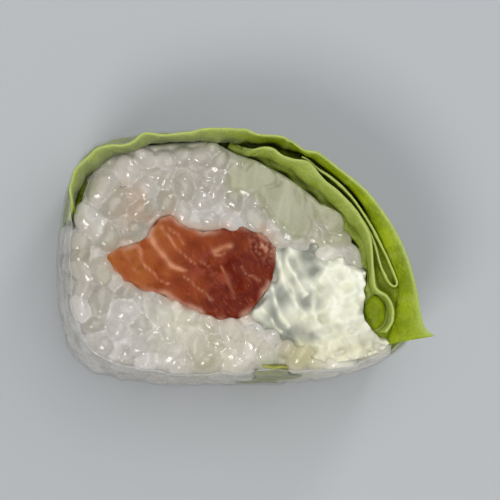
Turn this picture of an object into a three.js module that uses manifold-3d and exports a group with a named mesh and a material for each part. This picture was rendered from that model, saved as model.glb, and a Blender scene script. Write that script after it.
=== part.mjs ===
// One slice of a salmon spring roll: a wet rice-paper sheet wrapped round a lettuce leaf, sushi rice,
// a stick of raw salmon and cream cheese, cut straight across and standing on one cut face.
// Millimetres, +Z up. X runs along the long side of the oval section, Y across it.
// The origin is at the centre of the base.
import * as THREE from "three";
import { mergeVertices } from "three/addons/utils/BufferGeometryUtils.js";
import Module from "manifold-3d";

const wasm = await Module();
wasm.setup();

// Driving dimensions
const HEIGHT = 28; // between the two cuts
const WALL = 0.7; // rice paper, two turns stuck together
const GAP = 0.3; // between neighbours
const BULGE = 0.018; // swell of the sides at mid height, as a share of the distance from the middle
const STEP = 1.9; // spacing of the points along a plain outline
const LEAF_STEP = 1.2; // and along a rippled one
const LAYERS = 3; // steps up a side wall
const REACH = 6; // how far a cutting shape runs past what it cuts

// Heights and relief of the cut faces
const PAPER_TOP = HEIGHT - 0.7;
const LEAF_TOP = HEIGHT + 0.2;
const SALMON_TOP = HEIGHT - 0.9;
const CHEESE_TOP = HEIGHT - 0.5;
const GRAIN = { length: 7, width: 3.6, relief: 0.6 };
const CELL = { rice: 2, leaf: 2.6, salmon: 2.8, cheese: 1.5, paper: 6 };

// The leaf's waves, seen from above, and its end, which leans out over the paper
const RIPPLE = { height: 0.35, length: 5.5 };
const LIP = { x: 28, y: -11, bottom: HEIGHT + 0.1, rise: 1.3, reach: 9 };
// The paper's free edge, on the flat side of the roll, stands proud of the turn below it
const FLAP = { proud: 0.45, edge: -15, width: 30, below: -15 };

// Sections, as points that a smooth curve runs through, counterclockwise
const SKIN = [
  [0, -20.5], [12, -20.2], [20.5, -18.6], [25.8, -15.9], [28.4, -12.6], [28.8, -8.5], [27.8, -3.4],
  [25.6, 2.2], [21.6, 8.6], [16.2, 13.9], [9.2, 18.1], [1.5, 20.3], [-8, 20.7], [-18, 19.9],
  [-24.6, 18], [-28.2, 13.8], [-29.6, 7.5], [-30.3, 0], [-29.8, -8], [-28, -14.6], [-23.2, -19],
  [-14, -20.4],
];
const SALMON = [
  [-22.9, -1.6], [-21.6, -4], [-18.2, -6.3], [-12.4, -8.2], [-8.3, -10.3], [-3.4, -11.6],
  [-0.6, -10.6], [2.6, -7.1], [4.3, -2.4], [3.7, 2.2], [-0.3, 3.4], [-6.1, 3.1], [-10.6, 3.6],
  [-13.6, 5.7], [-15.5, 4.6], [-17.4, 1], [-20.6, 0.2],
];
const CHEESE = [
  [1.2, -10.6], [5, -13.3], [9.5, -15.4], [14, -16.9], [18.6, -16.4], [21.4, -14.6], [20.3, -12.6],
  [18.9, -10.2], [19.3, -6.4], [18.4, -3.8], [15.6, -2.6], [11.4, -1.2], [7, 0.4], [5.1, -0.4],
  [5.4, -3], [4.2, -7],
];
const SCRAP = [[1.5, -19.2], [8, -19.6], [14.6, -18.9], [12.6, -17.4], [9, -16.6], [5, -17.4]];
const LIP_OUTLINE = [
  [24.2, -15.1], [27.4, -14.5], [30.9, -13.9], [29.9, -11.2], [28.9, -7.6], [27.2, -3.6],
  [25.6, -5.6], [25.4, -10],
];
// Sides of the two leaf layers, from the left end, over the top, to the right end
const OUTER_INSIDE = [
  [-28.7, 0.2], [-28.3, 4.4], [-27.3, 9.2], [-25.4, 13.6], [-21.8, 16.6], [-15, 17.9], [-6, 18.4],
  [1, 17.6], [7.5, 15.6], [13.4, 11.9], [18.4, 7], [22, 1.6], [23.9, -3.6], [24.6, -8.6],
  [24.5, -11.8], [23.4, -15],
];
const INNER_OUTSIDE = [
  [-3, 17.7], [2.5, 16.4], [7, 14.6], [12.5, 11], [17.3, 6.3], [20.8, 1.2], [22.7, -3.8],
  [23.4, -8.4], [23.2, -11.6], [22.2, -13.9],
];
const INNER_INSIDE = [
  [-3.4, 16.8], [0.6, 15.6], [5, 13.6], [9.4, 10.6], [13.6, 7], [16, 4], [18, 1.2], [19.3, -2.8],
  [19.6, -6.4], [19.1, -10.2], [20.4, -12.9],
];

// Points at an even spacing along a smooth curve through the given ones.
function along(points, closed, step = STEP) {
  const path = new THREE.CatmullRomCurve3(
    points.map(([x, y]) => new THREE.Vector3(x, y, 0)),
    closed,
    "centripetal",
  );
  const count = Math.ceil(path.getLength() / step);
  const found = path.getSpacedPoints(count).map((p) => new THREE.Vector2(p.x, p.y));
  return closed ? found.slice(0, -1) : found;
}

// The same for one side of a leaf, with the leaf's waves in it.
function rippled(points, phase) {
  const found = along(points, false, LEAF_STEP);
  return found.map((point, i) => {
    const [before, after] = [found[Math.max(i - 1, 0)], found[Math.min(i + 1, found.length - 1)]];
    const side = after.clone().sub(before).normalize().rotateAround(new THREE.Vector2(), Math.PI / 2);
    const wave = Math.sin((2 * Math.PI * i * LEAF_STEP) / RIPPLE.length + phase);
    return point.clone().addScaledVector(side, RIPPLE.height * wave);
  });
}

// A closed outline moved outwards by distance(point), or inwards where that is negative.
function moved(outline, distance) {
  const count = outline.length;
  return outline.map((point, i) => {
    const before = outline[(i + count - 1) % count];
    const after = outline[(i + 1) % count];
    const [a, b] = [point.clone().sub(before).normalize(), after.clone().sub(point).normalize()];
    const normal = new THREE.Vector2(a.y + b.y, -a.x - b.x).normalize();
    const mitre = Math.max(0.5, normal.dot(new THREE.Vector2(a.y, -a.x)));
    return point.clone().addScaledVector(normal, distance(point) / mitre);
  });
}
const grown = (outline, distance) => moved(outline, () => distance);

function solid(geometry) {
  const bare = new THREE.BufferGeometry().setAttribute("position", geometry.getAttribute("position"));
  if (geometry.index) bare.setIndex(geometry.index);
  const merged = mergeVertices(bare, 1e-4);
  return new wasm.Manifold(
    new wasm.Mesh({
      numProp: 3,
      vertProperties: Float32Array.from(merged.attributes.position.array),
      triVerts: Uint32Array.from(merged.index.array),
    }),
  );
}

// An upright column of this section, swelling a little at mid height as the pressed roll does.
function column(outline, bottom = 0) {
  const depth = HEIGHT + REACH - bottom;
  const shape = new THREE.Shape(outline);
  const geometry = new THREE.ExtrudeGeometry(shape, { depth, steps: LAYERS, bevelEnabled: false });
  geometry.translate(0, 0, bottom);
  const position = geometry.getAttribute("position");
  for (let i = 0; i < position.count; i++) {
    const share = THREE.MathUtils.clamp(position.getZ(i) / HEIGHT, 0, 1);
    const swell = 1 + BULGE * Math.sin(Math.PI * share);
    position.setXY(i, position.getX(i) * swell, position.getY(i) * swell);
  }
  return solid(geometry);
}

// A block over the whole slice whose top follows height(x, y), on square cells.
function under(height, cell) {
  const [width, length] = [72, 52];
  const [columns, rows] = [Math.round(width / cell), Math.round(length / cell)];
  const geometry = new THREE.BoxGeometry(width, length, HEIGHT, columns, rows, 1);
  geometry.translate(0, 0, HEIGHT / 2);
  const position = geometry.getAttribute("position");
  for (let i = 0; i < position.count; i++)
    if (position.getZ(i) > HEIGHT / 2) position.setZ(i, height(position.getX(i), position.getY(i)));
  return solid(geometry);
}

const largest = (made) =>
  made.decompose().reduce((best, body) => (body.volume() > best.volume() ? body : best));

// Heights of the cut faces
const paperTop = (x, y) => PAPER_TOP + 0.25 * Math.sin(0.35 * x + 1) + 0.2 * Math.sin(0.5 * y);
const salmonTop = (x, y) => SALMON_TOP + 0.3 * Math.sin(0.5 * (x + 0.6 * y)) - 0.012 * (x + 8);
const cheeseTop = (x, y) => CHEESE_TOP + 0.45 * Math.sin(1.9 * (0.9 * x + 0.45 * y));
function leafTop(x, y) {
  const end = Math.hypot(x - LIP.x, y - LIP.y) / LIP.reach;
  return LEAF_TOP + 0.5 * Math.sin(0.55 * x) + 0.35 * Math.sin(0.9 * y + 0.4 * x) +
    LIP.rise * Math.exp(-end * end);
}
function riceTop(x, y) {
  const row = Math.sin((2 * Math.PI * x) / GRAIN.length + 0.9 * Math.sin(y));
  const across = Math.sin((Math.PI * y) / GRAIN.width + 0.7 * Math.sin(0.8 * x));
  return HEIGHT + GRAIN.relief * row * across;
}

// How far the paper's outside stands off its plain outline: the flap thins out away from its edge.
function flap(point) {
  const share = (point.x - FLAP.edge) / FLAP.width;
  return point.y < FLAP.below && share > 0 && share < 1 ? FLAP.proud * (1 - share) : 0;
}

// Outlines
const skin = along(SKIN, true);
const salmonOutline = along(SALMON, true);
const cheeseOutline = along(CHEESE, true);
const scrapOutline = along(SCRAP, true);
const outerInside = rippled(OUTER_INSIDE, 0);
const innerInside = rippled(INNER_INSIDE, 2);
const innerOutline = [...rippled(INNER_OUTSIDE, 1), ...[...innerInside].reverse()].reverse();
// The outer leaf fills the room up to the paper, so its outline runs on past that, back to its start.
const pastLeaf = grown(skin, 1)
  .filter(({ x, y }) => y > (x > 0 ? OUTER_INSIDE.at(-1) : OUTER_INSIDE[0])[1])
  .sort((a, b) => Math.atan2(a.y + 20, a.x) - Math.atan2(b.y + 20, b.x));
const outerOutline = [...outerInside, ...pastLeaf];
const beforeInner = outerInside.filter(({ x }) => x < INNER_INSIDE[0][0] - 1);
const leavesOutline = [...beforeInner, ...innerInside, outerInside.at(-1), ...pastLeaf];

// Solids, each cut clear of those before it
const room = column(grown(skin, -(WALL + GAP)));
const leafRoom = under(leafTop, CELL.leaf);
const clearOf = (made, ...outlines) =>
  outlines.reduce((rest, outline) => rest.subtract(column(grown(outline, GAP), -REACH)), made);

const lipOutline = along(LIP_OUTLINE, true);
const lip = column(lipOutline, LIP.bottom).intersect(leafRoom);
const outerLeaf = largest(room.intersect(column(outerOutline)).intersect(leafRoom).add(lip));
const innerLeaf = largest(
  clearOf(room.intersect(column(innerOutline)), outerOutline).intersect(leafRoom),
);
const scrap = largest(room.intersect(column(scrapOutline)).intersect(leafRoom));
const salmon = column(salmonOutline).intersect(under(salmonTop, CELL.salmon));
const cheese = largest(
  clearOf(room.intersect(column(cheeseOutline)), salmonOutline, leavesOutline)
    .intersect(under(cheeseTop, CELL.cheese)),
);
const rice = largest(
  clearOf(room, leavesOutline, scrapOutline, salmonOutline, cheeseOutline)
    .subtract(column(grown(lipOutline, GAP), LIP.bottom - GAP))
    .intersect(under(riceTop, CELL.rice)),
);
const paper = column(moved(skin, flap))
  .subtract(column(grown(skin, -WALL), -REACH))
  .intersect(under(paperTop, CELL.paper));

function mesh(name, made, color, roughness, extra = {}) {
  const { vertProperties, triVerts, numProp } = made.getMesh();
  const places = Float32Array.from(
    { length: (vertProperties.length / numProp) * 3 },
    (_, i) => vertProperties[Math.floor(i / 3) * numProp + (i % 3)],
  );
  const geometry = new THREE.BufferGeometry()
    .setAttribute("position", new THREE.BufferAttribute(places, 3))
    .setIndex(new THREE.BufferAttribute(triVerts, 1));
  geometry.computeVertexNormals();
  const material = new THREE.MeshStandardMaterial({ color, roughness, metalness: 0, ...extra });
  const result = new THREE.Mesh(geometry, material);
  result.name = name;
  return result;
}

const slice = new THREE.Group();
slice.add(
  mesh("rice_paper", paper, 0xe6e6da, 0.2, { transparent: true, opacity: 0.4 }),
  mesh("lettuce_outer", outerLeaf, 0x99a54f, 0.45),
  mesh("lettuce_inner", innerLeaf, 0xa1ae5c, 0.45),
  mesh("lettuce_scrap", scrap, 0x8d9440, 0.45),
  mesh("rice", rice, 0xc9c5bb, 0.35),
  mesh("salmon", salmon, 0xa05228, 0.3),
  mesh("cream_cheese", cheese, 0xe9ead9, 0.4),
);

const box = new THREE.Box3().setFromObject(slice);
slice.position.set(-(box.min.x + box.max.x) / 2, -(box.min.y + box.max.y) / 2, 0);

export default slice;
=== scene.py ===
"""The looks of one slice of salmon spring roll, standing on one cut face with the other one up.

X runs along the long side of the oval cut face, Y across it and Z up. Lengths are in millimetres
until piece() turns them into metres.
"""

import math

import bmesh
import bpy
import numpy as np
from mathutils import Matrix, Vector
from mathutils.bvhtree import BVHTree
from mathutils.geometry import delaunay_2d_cdt


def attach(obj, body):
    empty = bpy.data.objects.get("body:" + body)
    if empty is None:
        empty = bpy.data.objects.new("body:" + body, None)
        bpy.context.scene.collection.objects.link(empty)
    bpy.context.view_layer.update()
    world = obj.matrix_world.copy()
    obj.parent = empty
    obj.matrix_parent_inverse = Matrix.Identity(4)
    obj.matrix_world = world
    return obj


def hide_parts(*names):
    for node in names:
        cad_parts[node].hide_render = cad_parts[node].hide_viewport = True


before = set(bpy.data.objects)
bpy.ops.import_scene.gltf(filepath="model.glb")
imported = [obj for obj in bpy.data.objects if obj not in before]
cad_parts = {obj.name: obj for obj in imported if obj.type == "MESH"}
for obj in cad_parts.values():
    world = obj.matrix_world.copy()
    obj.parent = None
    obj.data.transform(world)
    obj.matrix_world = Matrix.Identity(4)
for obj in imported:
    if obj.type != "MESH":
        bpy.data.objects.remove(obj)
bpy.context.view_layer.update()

MM = 0.001
HEIGHT = 28.0  # between the two cut faces
BULGE = 0.018  # swell of the sides at mid height, as a share of the distance from the middle

WRAPPER = 0.3  # thickness of the wet rice paper
LEAF = 0.42  # thickness of a leaf
LEAF_PLACE = 0.95  # from the wrapper's outside to the middle of the leaf under it

# Rice: cooked short grains, pressed together
GRAIN = np.array([6.4, 4.5, 4.2])  # length, width and depth
GRAIN_ROOM = 0.5  # from the wrapper's outside to the grains
BALLS = np.array([[-1.6, 1.65], [0, 2.1], [1.6, 1.65]])  # place along a grain, and radius
PACK_ROUNDS = 110
SQUEEZE = 0.86  # how close the balls of two grains come, as a share of touching
KNIFE = HEIGHT + 0.3  # the cut grains are flattened at about this height
SMOOTH_CUT = (5.5, 9.8)  # the knife went lower round this place and smeared the grains
SMOOTH_SIZE = (11.0, 5.2)  # half the length and width of the smeared place
SMOOTH_TURN = -0.66
STAIN = (8.8, -17.0)  # the cream cheese is yellowish from the leaf behind round this place
# Places where the rice is yellower, where it is whiter, and where it is darker with painted shade:
# each one's size, and how much
YELLOWED = [(STAIN, 2.6, 0.8), ((-5.0, -17.5), 5.0, 0.35)]
COATED = [((16.0, -17.0), 4.5, 0.7), ((12.3, 0.4), 2.0, 0.4), ((-12.0, -11.5), 3.0, 0.4)]
DULL = [
    ((-18.0, 10.0), 7.0, 0.32), ((-4.0, 12.0), 5.0, 0.2), ((-26.0, -2.0), 4.5, 0.42),
    ((13.0, 3.5), 2.8, 0.45),
]
BLUSH = (-17.5, 7.0)  # painted pink light from the salmon under it tints the rice round this place
GREEN_GAPS = [(-22.4, 9.2), (-14.8, -16.2), (-21.6, -16.8)]  # the leaf shows between grains here
FINE_BELOW = 6.0  # grains with their middle this near the upper cut face are made finer
CRUST = 5.5  # grains deeper inside than this are left out: a solid core stands in for them
SHOWN = 4.0  # grains with their middle this near a face or a side get a painted greyer top there, and painted lighter rims
TOP_DETAIL, BELOW_DETAIL = 0.25, 0.36  # from point to point on the two skins of rice
PASTE_LOOKS = (0.4, 0, 0.6)  # tint, cut and painted rim light of the starch between the grains

# Plan grid for distances to outlines
GRID_STEP = 0.25
GRID_X = np.arange(-34, 34 + GRID_STEP, GRID_STEP)
GRID_Y = np.arange(-25, 25 + GRID_STEP, GRID_STEP)


# ---- numbers


def field(points, size, seed, waves=18):
    """A smooth random value at each point, mostly from -1.5 to 1.5, with bumps about size across."""
    draw = np.random.default_rng(seed)
    direction = draw.normal(size=(waves, np.shape(points)[-1]))
    direction /= np.linalg.norm(direction, axis=1, keepdims=True)
    pitch = math.pi / size * draw.uniform(0.6, 1.4, waves)
    phase = draw.uniform(0, 2 * math.pi, waves)
    angles = np.asarray(points) @ (direction * pitch[:, None]).T + phase
    return np.sin(angles).sum(-1) * math.sqrt(2 / waves)


def step(low, high, value):
    """A smooth rise from 0 where the value is low to 1 where it is high."""
    share = np.clip((value - low) / (high - low), 0, 1)
    return share * share * (3 - 2 * share)


def unit(vectors):
    return vectors / np.maximum(np.linalg.norm(vectors, axis=-1, keepdims=True), 1e-9)


def swell(z):
    """How much wider the roll is at this height than at its cut faces."""
    return 1 + BULGE * np.sin(math.pi * np.clip(z / HEIGHT, 0, 1))


def evenly(points, count, closed=False):
    """The same line with this many points, evenly spaced."""
    if closed:
        points = np.vstack([points, points[:1]])
    length = np.concatenate([[0], np.cumsum(np.linalg.norm(np.diff(points, axis=0), axis=1))])
    at = np.linspace(0, length[-1], count, endpoint=not closed)
    return np.stack([np.interp(at, length, values) for values in points.T], axis=1)


def through(points, count):
    """Evenly spaced points on a smooth curve through the given ones."""
    points = np.asarray(points, float)
    ends = np.vstack([2 * points[0] - points[1], points, 2 * points[-1] - points[-2]])
    t = np.linspace(0, 1, 16, endpoint=False)[:, None]
    spans = [
        b + t * (c - a) / 2 + t**2 * (a - 2.5 * b + 2 * c - d / 2) + t**3 * (3 * (b - c) + d - a) / 2
        for a, b, c, d in zip(ends, ends[1:], ends[2:], ends[3:])
    ]
    return evenly(np.vstack([*spans, points[-1:]]), count)


def near_to(place, size, points):
    """How near points are to a plan place, from 1 at it to 0 a few sizes away."""
    return np.exp(-((points[:, :2] - place) ** 2).sum(1) / (2 * size**2))


def near_places(places, points):
    """How strongly points lie near plan places, each with its size and strength."""
    return sum(much * near_to(place, size, points) for place, size, much in places)


def smeared(points):
    """How smooth the knife left the rice at each plan point, from 0 to 1."""
    off = points[..., :2] - SMOOTH_CUT
    cos, sin = math.cos(SMOOTH_TURN), math.sin(SMOOTH_TURN)
    along = off @ np.array([cos, sin]) / SMOOTH_SIZE[0]
    across = off @ np.array([-sin, cos]) / SMOOTH_SIZE[1]
    return step(1.25, 0.75, np.hypot(along, across) + 0.1 * field(points[..., :2], 4.0, 70))


def drift(points):
    """How far the layers' edges at the front lie aside at this height, as a shift in plan."""
    x, y, z = np.moveaxis(points, -1, 0)
    side = step(20, 8, x) * step(-8, -14, y) * np.sin(math.pi * np.clip(z / HEIGHT, 0, 1))
    return np.stack([0.9 * side * field(z[..., None], 8.0, 86), 0 * side], axis=-1)


def lean(points):
    """How far the leaf leans in over the rice near the upper cut face."""
    return step(21.5, 26, points[..., 2]) * step(6, 11, points[..., 1])


def around(count):
    """Unit vectors in plan that go once round a circle."""
    turn = np.linspace(0, 2 * math.pi, count, endpoint=False)
    return np.stack([np.cos(turn), np.sin(turn)], axis=1)


def softened(values, rounds, axis=0):
    """Values along a closed line, averaged with their neighbours this many times."""
    for _ in range(rounds):
        values = (2 * values + np.roll(values, 1, axis) + np.roll(values, -1, axis)) / 4
    return values


# ---- plan outlines


def base_loops(node):
    """The outlines of a node's lower cut face, the longest first."""
    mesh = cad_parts[node].data
    keys = [tuple(round(c / MM, 3) for c in v.co) for v in mesh.vertices]
    edges = set()
    for face in mesh.polygons:
        corners = [keys[i] for i in face.vertices]
        if max(corner[2] for corner in corners) < 0.01:
            edges.update(zip(corners, corners[1:] + corners[:1]))
    following = {a: b for a, b in edges if (b, a) not in edges}
    loops = []
    while following:
        loop = [min(following)]
        while loop[-1] in following:
            loop.append(following.pop(loop[-1]))
        loops.append(np.array(loop[:-1])[:, :2])
    return sorted(loops, key=lambda loop: -np.linalg.norm(np.roll(loop, 1, 0) - loop, axis=1).sum())


def outline_of(node):
    """A node's outer outline at its lower cut face, counterclockwise."""
    return base_loops(node)[0][::-1]


def distance_map(loops):
    """The distance to the nearest outline at each grid point, positive inside."""
    x, y = np.meshgrid(GRID_X, GRID_Y)
    nearest = np.full(x.shape, np.inf)
    inside = np.zeros(x.shape, bool)
    for loop in loops:
        for (ax, ay), (bx, by) in zip(loop, np.roll(loop, -1, axis=0)):
            dx, dy = bx - ax, by - ay
            share = ((x - ax) * dx + (y - ay) * dy) / max(dx * dx + dy * dy, 1e-12)
            share = np.clip(share, 0, 1)
            nearest = np.minimum(nearest, np.hypot(x - ax - share * dx, y - ay - share * dy))
            if ay != by:
                inside ^= ((ay > y) != (by > y)) & (x < ax + (y - ay) / (by - ay) * dx)
    return np.where(inside, nearest, -nearest)


def sample(chart, points):
    """A grid chart's value at plan points."""
    u = np.clip((points[..., 0] - GRID_X[0]) / GRID_STEP, 0, len(GRID_X) - 1.001)
    v = np.clip((points[..., 1] - GRID_Y[0]) / GRID_STEP, 0, len(GRID_Y) - 1.001)
    i, j = u.astype(int), v.astype(int)
    u, v = u - i, v - j
    low = chart[j, i] * (1 - u) + chart[j, i + 1] * u
    high = chart[j + 1, i] * (1 - u) + chart[j + 1, i + 1] * u
    return low * (1 - v) + high * v


def slope(chart, points):
    """How fast a grid chart rises at plan points, at most as fast as a distance."""
    down, across = np.gradient(chart, GRID_STEP)
    rise = np.stack([sample(across, points), sample(down, points)], axis=-1)
    return rise / np.maximum(np.linalg.norm(rise, axis=-1, keepdims=True), 1)


class Room:
    """The room for grains, inside a wall that stands still and layers whose edges drift."""

    def __init__(self, wall, layers):
        self.charts = wall, layers

    def places(self, points):
        """Where points lie on the wall's chart and on the layers' one."""
        plan = points[..., :2] / swell(points[..., 2:])
        return plan, plan - drift(points)

    def depth(self, points):
        """The distance to the nearest side, positive inside the room."""
        return np.minimum(*map(sample, self.charts, self.places(points))) - lean(points)

    def inward(self, points):
        """The way in plan from the nearest side towards the middle."""
        places = self.places(points)
        wall, layers = map(sample, self.charts, places)
        from_wall, from_layers = map(slope, self.charts, places)
        return np.where((wall < layers)[..., None], from_wall, from_layers)


def inset(loop, distance):
    """A counterclockwise outline, moved inwards."""
    along = unit(np.roll(loop, -1, 0) - np.roll(loop, 1, 0))
    inward = np.stack([-along[:, 1], along[:, 0]], axis=1)
    return loop + np.asarray(distance)[..., None] * inward


# ---- materials


def colour(*screen):
    """A colour given as screen values from 0 to 255, as the shader's linear ones."""
    screen = np.array(screen) / 255
    linear = np.where(screen <= 0.04045, screen / 12.92, ((screen + 0.055) / 1.055) ** 2.4)
    return (*linear.tolist(), 1.0)


class Finish:
    """A material whose Principled shader takes constants here and patterns from nodes. A name
    given as a value stands for that mesh attribute, and a colour is given as screen values."""

    def __init__(self, name, **constants):
        self.material = bpy.data.materials.new(name)
        self.material.use_nodes = True
        self.tree = self.material.node_tree
        self.shader = self.tree.nodes["Principled BSDF"]
        self.place = self.node("TexCoord", output="Object")
        for socket, value in constants.items():
            self.set(socket.replace("_", " "), value)

    def node(self, kind, inputs=None, output=0, **settings):
        made = self.tree.nodes.new("ShaderNode" + kind)
        for key, value in settings.items():
            setattr(made, key, value)
        for key, value in (inputs or {}).items():
            self.feed(made.inputs[key], value)
        return made.outputs[output]

    def feed(self, socket, value):
        if isinstance(value, str):
            value = self.node("Attribute", output="Fac", attribute_name=value)
        if isinstance(value, bpy.types.NodeSocket):
            self.tree.links.new(value, socket)
        else:
            socket.default_value = colour(*value) if socket.type == "RGBA" else value

    def set(self, socket, value):
        self.feed(self.shader.inputs[socket], value)

    def noise(self, size, detail=3.0, place=None):
        inputs = {"Vector": place or self.place, "Scale": 1 / (size * MM), "Detail": detail}
        return self.node("TexNoise", inputs)

    def cells(self, size):
        inputs = {"Vector": self.place, "Scale": 1 / (size * MM)}
        return self.node("TexVoronoi", inputs, output="Distance", feature="DISTANCE_TO_EDGE")

    def streaks(self, turn, length):
        """Coordinates that draw a pattern out to this many times its length, at this angle."""
        inputs = {"Vector": self.place, "Rotation": (0, 0, turn), "Scale": (length, 1, 1)}
        return self.node("Mapping", inputs, vector_type="TEXTURE")

    def range(self, value, low, high, to_low=0.0, to_high=1.0):
        inputs = {"Value": value, "From Min": low, "From Max": high}
        return self.node("MapRange", {**inputs, "To Min": to_low, "To Max": to_high})

    def maths(self, operation, a, b=0.0):
        return self.node("Math", {0: a, 1: b}, operation=operation)

    def mix(self, share, a, b):
        return self.node("Mix", {"Factor": share, 6: a, 7: b}, output=2, data_type="RGBA")

    def ramp(self, value, *stops):
        socket = self.node("ValToRGB", {"Fac": value})
        elements = socket.node.color_ramp.elements
        while len(elements) < len(stops):
            elements.new(0.5)
        for element, (at, shade) in zip(elements, stops):
            element.position = at
            element.color = colour(*shade)
        return socket

    def bump(self, height, depth):
        inputs = {"Height": height, "Strength": 1.0, "Distance": depth * MM}
        self.set("Normal", self.node("Bump", inputs))


def rice_finish():
    """Cooked sushi rice: milky and half clear, and greyer where it is cut. Painted light: each grain
    greyer on its exposed top and lighter at its rim, painted shade in places, and painted pink and
    green light reflected from the salmon and the leaf.
    """
    made = Finish(
        "rice", Roughness=0.28, IOR=1.4, Subsurface_Weight=0.7, Subsurface_Scale=0.8 * MM,
        Subsurface_Radius=(1.0, 0.95, 0.85), Coat_Weight=0.8, Coat_Roughness=0.07,
        Sheen_Weight=0.4, Sheen_Roughness=0.35,
    )
    body = made.ramp(
        "tint",
        (0.0, (204, 198, 186)), (0.3, (214, 209, 200)), (1.0, (228, 224, 219)),
    )
    clear = made.ramp(
        "tint",
        (0.0, (148, 144, 131)), (0.5, (171, 166, 158)), (1.0, (201, 196, 191)),
    )
    # painted light: each grain's exposed top turns greyer and its rim stays lighter, as light through
    # the half-clear grains would show
    body = made.mix(made.maths("MULTIPLY", "crown", 0.8), body, clear)
    body = made.mix("cut", body, (178, 173, 158))
    cloud = made.range(made.noise(2.2, 2.0), 0.4, 0.7, 0.0, 0.25)
    body = made.mix(cloud, body, (226, 221, 215))
    for place, shade in (
        # painted shade: the rice darker and duller in places
        ("dull", (142, 130, 94)), ("coated", (240, 238, 214)), ("stain", (200, 190, 144)),
        # painted pink and green light reflected from the salmon and the leaf
        ("blush", (200, 168, 142)), ("green", (152, 158, 104)),
    ):
        body = made.mix(place, body, shade)
    smear = made.maths("MULTIPLY", "smear", 0.85)
    streaks = made.range(made.noise(1.4, 3.0, made.streaks(1.4, 5)), 0.35, 0.7)
    smooth = made.mix(streaks, (145, 147, 107), (170, 169, 134))
    made.set("Base Color", made.mix(smear, body, smooth))
    made.set("Roughness", made.range(made.noise(0.8, 2.0), 0.3, 0.7, 0.2, 0.4))
    made.bump(made.noise(1.3, 2.0), 0.05)
    return made.material


def leaf_finish(name, dark, light, edge=(178, 190, 108)):
    """Lettuce: green, darker in patches, with painted shade deep down, paler on its veins and its cut
    edge.
    """
    made = Finish(
        name, Roughness=0.42, IOR=1.4, Specular_IOR_Level=0.2, Subsurface_Weight=0.6,
        Subsurface_Scale=1.0 * MM, Subsurface_Radius=(0.8, 1.0, 0.1), Coat_Weight=0.06,
        Coat_Roughness=0.2,
    )
    fine = made.range(made.noise(1.1, 3.0), 0, 1, -0.2, 0.2)
    patch = made.maths("ADD", made.noise(4.0, 4.0), fine)
    blade = made.mix(made.range(patch, 0.3, 0.7), dark, light)
    # painted shade: darker deep down and in the folds
    blade = made.mix("deep", blade, (70, 84, 8))
    blade = made.mix(made.maths("MULTIPLY", "vein", 0.4), blade, (178, 190, 104))
    blade = made.mix("pale", blade, (150, 148, 140))
    made.set("Base Color", made.mix("rim", blade, edge))
    net = made.range(made.cells(0.9), 0.0, 0.2)
    made.bump(made.maths("ADD", made.maths("MULTIPLY", net, 0.5), made.noise(0.7, 4.0)), 0.1)
    return made.material


def salmon_finish():
    """Raw salmon: orange at its thin end, brick red at its thick one, with pale lines of fat and light
    specks painted as wet glints.
    """
    made = Finish(
        "salmon", Roughness=0.3, IOR=1.4, Specular_IOR_Level=0.06, Subsurface_Weight=0.5,
        Subsurface_Scale=0.7 * MM, Subsurface_Radius=(1.0, 0.3, 0.1), Coat_Weight=0.09,
        Coat_Roughness=0.1,
    )
    flesh = made.ramp(
        "depth",
        (0.0, (164, 92, 36)), (0.3, (158, 80, 32)), (0.5, (140, 60, 20)),
        (0.7, (124, 45, 7)), (0.9, (98, 16, 0)), (1.0, (112, 33, 3)),
    )
    fibre = made.noise(0.5, 4.0, made.streaks(-1.0, 3))
    flesh = made.mix(made.range(fibre, 0.52, 0.78, 0.0, 0.4), flesh, (180, 96, 50))
    dark = made.range(made.noise(1.3, 5.0), 0.5, 0.72, 0.0, 0.45)
    flesh = made.mix(dark, flesh, (104, 40, 10))
    patch = made.range(made.noise(1.8, 4.0), 0.44, 0.6, 0.0, 0.75)
    patch = made.maths("MULTIPLY", patch, "bruise")
    flesh = made.mix(patch, flesh, (160, 78, 62))
    # painted highlight: small light specks that stand in for wet glints
    speck = made.range(made.noise(0.6, 3.0), 0.66, 0.74, 0.0, 0.5)
    flesh = made.mix(speck, flesh, (178, 92, 54))
    flesh = made.mix("fat", flesh, (216, 152, 114))
    made.set("Base Color", made.mix("film", flesh, (202, 158, 134)))
    made.bump(made.maths("ADD", fibre, made.noise(0.7, 4.0)), 0.2)
    return made.material


def cheese_finish():
    """Cream cheese: matt white, with painted shade in its hollows, grey where it lies thin over
    grains, and yellowish where the leaf stained it.
    """
    made = Finish(
        "cream_cheese", Roughness=0.5, IOR=1.4, Subsurface_Weight=0.6, Subsurface_Scale=0.5 * MM,
        Subsurface_Radius=(1.0, 0.9, 0.7), Coat_Weight=0.15, Coat_Roughness=0.25,
    )
    patch = made.range(made.noise(2.5, 4.0), 0.35, 0.7)
    body = made.mix(patch, (239, 238, 214), (249, 248, 232))
    body = made.mix("stain", body, (214, 206, 160))
    # painted shade, and grey where the cream cheese is thin over grains
    made.set("Base Color", made.mix("hollow", body, (142, 144, 132)))
    made.bump(made.noise(0.6, 5.0), 0.2)
    return made.material


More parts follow.
